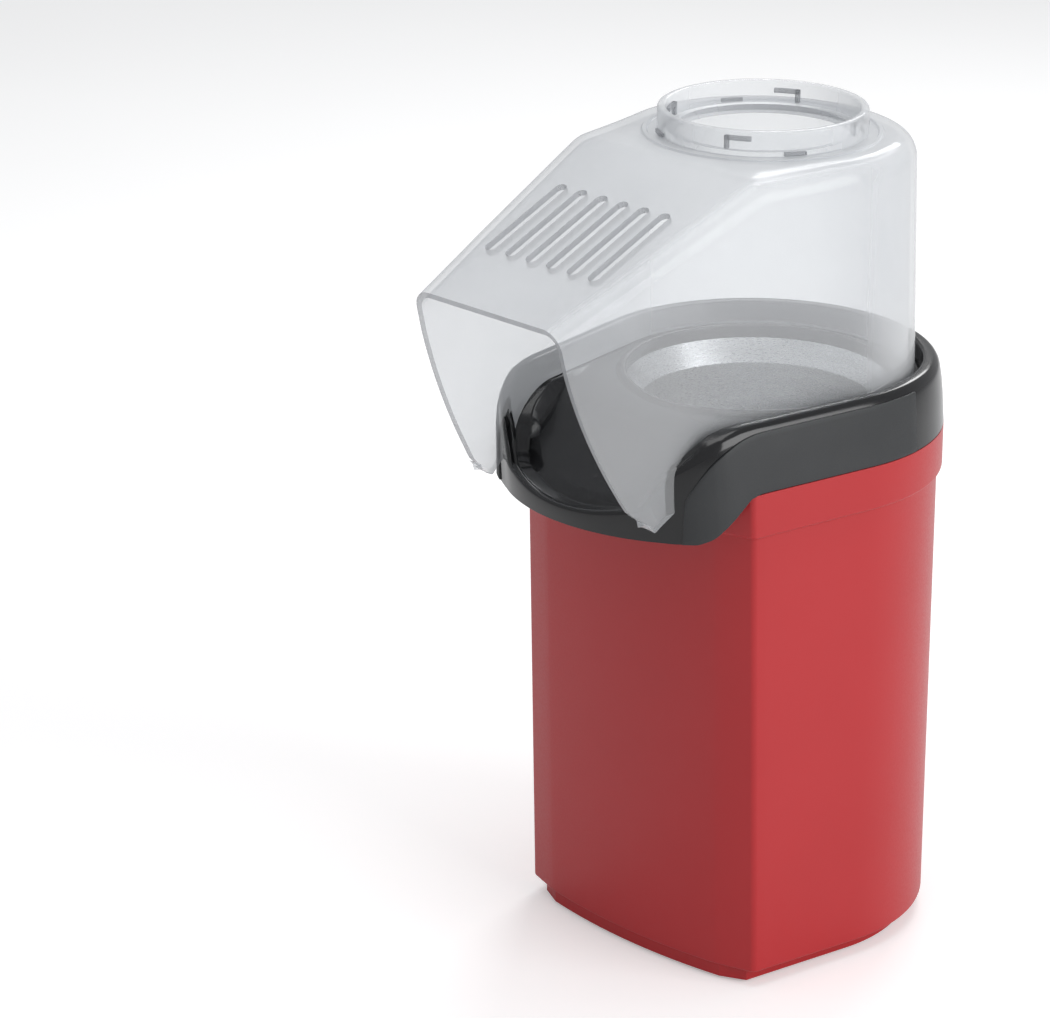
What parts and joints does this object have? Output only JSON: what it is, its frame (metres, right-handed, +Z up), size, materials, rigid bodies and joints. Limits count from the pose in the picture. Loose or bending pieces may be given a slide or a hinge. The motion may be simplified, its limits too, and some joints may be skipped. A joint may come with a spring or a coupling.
{
  "type": "hot-air popcorn maker",
  "caption": "Table-top hot-air popcorn maker: tapered red body, black collar with a pouring spout, and a clear lift-off hood with a steam-slotted roof and a round filling ring.",
  "frame": {"origin": "centre of the bounding box, on the surface that the feet stand on", "axes": "+Z up, -Y towards the pouring spout, +X to the right for a viewer who faces the pouring spout, and looks along +Y"},
  "size_m": [0.1284, 0.1924, 0.29],
  "materials": {
    "red_plastic": "satin-gloss moulded",
    "black_plastic": "gloss rim with fine-matte side panels",
    "clear_plastic": "clear gloss",
    "black_rubber": "matte",
    "screw_steel": "zinc plated",
    "duct_steel": "tinned sheet",
    "chamber_aluminium": "spun and anodised",
    "heat_resin": "glass-filled resin, matte",
    "fan_resin": "moulded, matte",
    "mica": "pearly flakes",
    "resistance_wire": "oxidised",
    "brass_parts": "bright",
    "ceramic_parts": "glazed off-white",
    "magnet_ferrite": "sintered, dull",
    "carbon": "dull",
    "circuit_board": "solder mask",
    "core_iron": "laminated",
    "copper_wire": "lacquered copper",
    "switch_plastic": "fine satin",
    "wire_sleeving": "woven sleeving"
  },
  "bodies": {
    "base": {"housing": "red_plastic", "base_cover": "red_plastic", "feet": "black_rubber", "base_screws": "screw_steel", "collar": "black_plastic", "collar_screws": "screw_steel", "popping_chamber": "chamber_aluminium", "heat_duct": "duct_steel", "duct_screws": "screw_steel", "fan_housing": "heat_resin", "fan_housing_screws": "screw_steel", "mica_board_long": "mica", "mica_board_cross": "mica", "heater_coils": "resistance_wire", "heater_terminals": "brass_parts", "thermostat": "ceramic_parts", "thermal_fuse": "ceramic_parts", "motor_can": "duct_steel", "motor_end_cap": "switch_plastic", "motor_magnets": "magnet_ferrite", "motor_bushes": "brass_parts", "motor_brushes": "carbon", "motor_bracket": "duct_steel", "motor_screws": "screw_steel", "rectifier_board": "circuit_board", "rectifier_diodes": "switch_plastic", "switch_body": "switch_plastic", "switch_terminals": "brass_parts", "cord_inlet": "black_rubber", "wiring": "wire_sleeving"},
    "rotor": {"rotor_shaft": "screw_steel", "armature": "core_iron", "armature_windings": "copper_wire", "commutator": "copper_wire", "fan_wheel": "fan_resin"},
    "rocker": {"rocker": "switch_plastic"},
    "hood": {"hood": "clear_plastic"}
  },
  "joints": [
    {"name": "fan_spin", "type": "hinge", "parent": "base", "child": "rotor", "pos_m": [0, 0.032, 0.05], "axis": [0, 0, 1], "continuous": true},
    {"name": "rocker_tilt", "type": "hinge", "parent": "base", "child": "rocker", "pos_m": [0, 0.0918, 0.042], "axis": [1, 0, 0], "range_deg": [0, 20]},
    {"name": "hood_lift", "type": "slide", "parent": "base", "child": "hood", "axis": [0, 0, 1], "range_m": [0, 0.08]}
  ]
}
